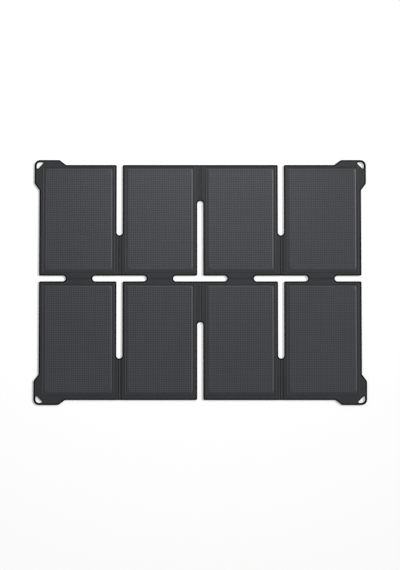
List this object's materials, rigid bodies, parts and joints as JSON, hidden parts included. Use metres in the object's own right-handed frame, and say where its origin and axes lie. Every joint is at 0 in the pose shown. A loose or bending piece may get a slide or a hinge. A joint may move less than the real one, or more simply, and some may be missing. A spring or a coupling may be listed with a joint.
{
  "type": "folding solar panel",
  "caption": "Folding solar sheet of stiff panels with raised cell windows, joined by short fold webs between round-ended slots, with an eyelet tab at each corner.",
  "frame": {"origin": "centre of the open sheet's footprint, on the plane of the trays' backs", "axes": "+X along the four columns, +Y from the low row to the top row, +Z out of the cells' side"},
  "size_m": [0.7988, 0.589, 0.0045],
  "materials": {
    "cover_skin": "matt, finely grained coated cloth",
    "web_skin": "matt, finely grained coated cloth",
    "window_film": "textured clear film, satin",
    "cell": "dark blue-black silicon",
    "board": "glass-fibre board"
  },
  "bodies": {
    "low_1": {"low_1_front_cover": "cover_skin", "low_1_cell_window": "window_film", "low_1_solar_cells": "cell", "low_1_core_board": "board", "low_1_back_cover": "cover_skin"},
    "low_2": {"low_2_front_cover": "cover_skin", "low_2_cell_window": "window_film", "low_2_solar_cells": "cell", "low_2_core_board": "board", "low_2_back_cover": "cover_skin"},
    "low_3": {"low_3_front_cover": "cover_skin", "low_3_cell_window": "window_film", "low_3_solar_cells": "cell", "low_3_core_board": "board", "low_3_back_cover": "cover_skin"},
    "low_4": {"low_4_front_cover": "cover_skin", "low_4_cell_window": "window_film", "low_4_solar_cells": "cell", "low_4_core_board": "board", "low_4_back_cover": "cover_skin"},
    "top_1": {"top_1_front_cover": "cover_skin", "top_1_cell_window": "window_film", "top_1_solar_cells": "cell", "top_1_core_board": "board", "top_1_back_cover": "cover_skin"},
    "top_2": {"top_2_front_cover": "cover_skin", "top_2_cell_window": "window_film", "top_2_solar_cells": "cell", "top_2_core_board": "board", "top_2_back_cover": "cover_skin"},
    "top_3": {"top_3_front_cover": "cover_skin", "top_3_cell_window": "window_film", "top_3_solar_cells": "cell", "top_3_core_board": "board", "top_3_back_cover": "cover_skin"},
    "top_4": {"top_4_front_cover": "cover_skin", "top_4_cell_window": "window_film", "top_4_solar_cells": "cell", "top_4_core_board": "board", "top_4_back_cover": "cover_skin"},
    "row_web_1": {"row_web_1": "web_skin"},
    "row_web_2": {"row_web_2": "web_skin"},
    "row_web_3": {"row_web_3": "web_skin"},
    "row_web_4": {"row_web_4": "web_skin"},
    "low_12_web": {"low_12_web": "web_skin"},
    "low_23_web": {"low_23_web": "web_skin"},
    "low_34_web": {"low_34_web": "web_skin"},
    "top_12_web_left": {"top_12_web_left": "web_skin"},
    "top_12_web_right": {"top_12_web_right": "web_skin"},
    "top_23_web_left": {"top_23_web_left": "web_skin"},
    "top_23_web_right": {"top_23_web_right": "web_skin"},
    "top_34_web_left": {"top_34_web_left": "web_skin"},
    "top_34_web_right": {"top_34_web_right": "web_skin"}
  },
  "joints": [
    {"name": "row_fold", "type": "hinge", "parent": "low_1", "child": "top_1", "pos_m": [-0.29115, 0.0085, 0.00465], "axis": [1, 0, 0], "range_deg": [0, 180]},
    {"name": "row_fold_2", "type": "hinge", "parent": "low_2", "child": "top_2", "pos_m": [-0.09705, 0.0085, 0.00465], "axis": [1, 0, 0], "range_deg": [0, 180]},
    {"name": "row_fold_3", "type": "hinge", "parent": "low_3", "child": "top_3", "pos_m": [0.09705, 0.0085, 0.00465], "axis": [1, 0, 0], "range_deg": [0, 180]},
    {"name": "row_fold_4", "type": "hinge", "parent": "low_4", "child": "top_4", "pos_m": [0.29115, 0.0085, 0.00465], "axis": [1, 0, 0], "range_deg": [0, 180]},
    {"name": "row_web_1_bend", "type": "hinge", "parent": "low_1", "child": "row_web_1", "pos_m": [-0.29115, 0.00695, 0.0031], "axis": [1, 0, 0], "range_deg": [0, 90]},
    {"name": "row_web_2_bend", "type": "hinge", "parent": "low_2", "child": "row_web_2", "pos_m": [-0.09705, 0.00695, 0.0031], "axis": [1, 0, 0], "range_deg": [0, 90]},
    {"name": "row_web_3_bend", "type": "hinge", "parent": "low_3", "child": "row_web_3", "pos_m": [0.09705, 0.00695, 0.0031], "axis": [1, 0, 0], "range_deg": [0, 90]},
    {"name": "row_web_4_bend", "type": "hinge", "parent": "low_4", "child": "row_web_4", "pos_m": [0.29115, 0.00695, 0.0031], "axis": [1, 0, 0], "range_deg": [0, 90]},
    {"name": "fold_12", "type": "hinge", "parent": "low_1", "child": "low_2", "pos_m": [-0.1941, -0.233, 0.00945], "axis": [0, -1, 0], "range_deg": [0, 180]},
    {"name": "fold_23", "type": "hinge", "parent": "low_2", "child": "low_3", "pos_m": [0, -0.04725, -0.00015], "axis": [0, 1, 0], "range_deg": [0, 180]},
    {"name": "fold_34", "type": "hinge", "parent": "low_3", "child": "low_4", "pos_m": [0.1941, -0.233, 0.00945], "axis": [0, -1, 0], "range_deg": [0, 180]},
    {"name": "low_12_bend", "type": "hinge", "parent": "low_1", "child": "low_12_web", "pos_m": [-0.20045, -0.233, 0.0031], "axis": [0, -1, 0], "range_deg": [0, 90]},
    {"name": "low_23_bend", "type": "hinge", "parent": "low_2", "child": "low_23_web", "pos_m": [-0.00325, -0.04725, 0.0031], "axis": [0, 1, 0], "range_deg": [0, 90]},
    {"name": "low_34_bend", "type": "hinge", "parent": "low_3", "child": "low_34_web", "pos_m": [0.18775, -0.233, 0.0031], "axis": [0, -1, 0], "range_deg": [0, 90]},
    {"name": "top_12_left_bend", "type": "hinge", "parent": "top_1", "child": "top_12_web_left", "pos_m": [-0.20045, 0.064, 0.0031], "axis": [0, -1, 0], "range_deg": [0, 90]},
    {"name": "top_12_right_bend", "type": "hinge", "parent": "top_2", "child": "top_12_web_right", "pos_m": [-0.18775, 0.064, 0.0031], "axis": [0, -1, 0], "range_deg": [-90, 0]},
    {"name": "top_23_left_bend", "type": "hinge", "parent": "top_2", "child": "top_23_web_left", "pos_m": [-0.00325, 0.239, 0.0031], "axis": [0, 1, 0], "range_deg": [0, 90]},
    {"name": "top_23_right_bend", "type": "hinge", "parent": "top_3", "child": "top_23_web_right", "pos_m": [0.00325, 0.239, 0.0031], "axis": [0, 1, 0], "range_deg": [-90, 0]},
    {"name": "top_34_left_bend", "type": "hinge", "parent": "top_3", "child": "top_34_web_left", "pos_m": [0.18775, 0.064, 0.0031], "axis": [0, -1, 0], "range_deg": [0, 90]},
    {"name": "top_34_right_bend", "type": "hinge", "parent": "top_4", "child": "top_34_web_right", "pos_m": [0.20045, 0.064, 0.0031], "axis": [0, -1, 0], "range_deg": [-90, 0]}
  ],
  "couplings": [
    {"joint": "row_fold_2", "follows": "row_fold", "ratio": 1},
    {"joint": "row_fold_3", "follows": "row_fold", "ratio": 1},
    {"joint": "row_fold_4", "follows": "row_fold", "ratio": 1},
    {"joint": "row_web_1_bend", "follows": "row_fold", "ratio": 0.5},
    {"joint": "row_web_2_bend", "follows": "row_fold", "ratio": 0.5},
    {"joint": "row_web_3_bend", "follows": "row_fold", "ratio": 0.5},
    {"joint": "row_web_4_bend", "follows": "row_fold", "ratio": 0.5},
    {"joint": "fold_34", "follows": "fold_23", "ratio": 1},
    {"joint": "low_12_bend", "follows": "fold_12", "ratio": 0.5},
    {"joint": "low_23_bend", "follows": "fold_23", "ratio": 0.5},
    {"joint": "low_34_bend", "follows": "fold_23", "ratio": 0.5},
    {"joint": "top_12_left_bend", "follows": "fold_12", "ratio": 0.5},
    {"joint": "top_12_right_bend", "follows": "fold_12", "ratio": -0.5},
    {"joint": "top_23_left_bend", "follows": "fold_23", "ratio": 0.5},
    {"joint": "top_23_right_bend", "follows": "fold_23", "ratio": -0.5},
    {"joint": "top_34_left_bend", "follows": "fold_23", "ratio": 0.5},
    {"joint": "top_34_right_bend", "follows": "fold_23", "ratio": -0.5}
  ]
}
